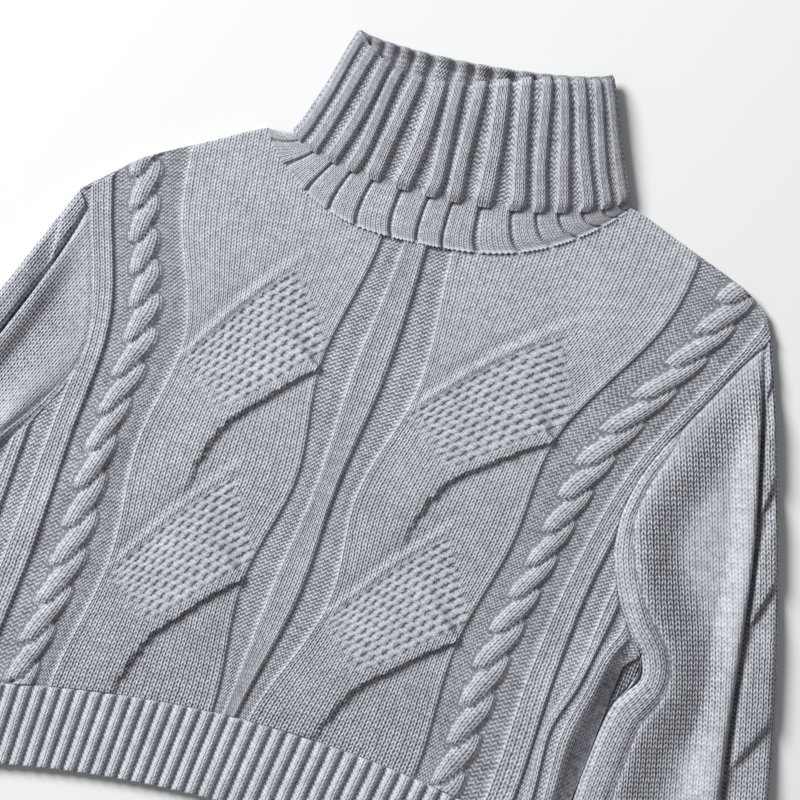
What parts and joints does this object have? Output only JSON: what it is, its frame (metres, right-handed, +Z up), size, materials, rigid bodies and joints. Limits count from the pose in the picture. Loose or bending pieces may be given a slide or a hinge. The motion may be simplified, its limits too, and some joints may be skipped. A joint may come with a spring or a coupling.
{
  "type": "cropped cable-knit turtleneck sweater laid flat",
  "caption": "Chunky cropped turtleneck pullover laid flat on its back: cabled front, plain back, long sleeves, folded ribbed collar, ribbed hem and cuffs.",
  "frame": {"origin": "on the surface the sweater lies on, under the middle of its bounding box", "axes": "+Z up from the surface, towards the cabled front; +Y towards the collar; +X towards the sleeve at the viewer's right when the collar points away; the widest reach, cuff to cuff, is along X"},
  "size_m": [0.808, 0.6778, 0.0169],
  "materials": {
    "cable_knit": "matte cool-grey marl yarn, cables, ropes and ribs over a purl ground",
    "plain_knit": "matte cool-grey marl yarn, plain stockinette",
    "sleeve_knit": "matte cool-grey marl yarn, stockinette with a cable along the outer edge",
    "collar_rib": "matte cool-grey marl yarn, wide ribs folded over",
    "welt_rib": "matte cool-grey marl yarn, narrow ribs"
  },
  "bodies": {
    "root": {"front_panel": "cable_knit", "back_panel": "plain_knit", "sleeve_left": "sleeve_knit", "sleeve_right": "sleeve_knit", "collar": "collar_rib", "front_hem_rib": "welt_rib", "back_hem_rib": "welt_rib", "cuff_left": "welt_rib", "cuff_right": "welt_rib"}
  },
  "joints": []
}
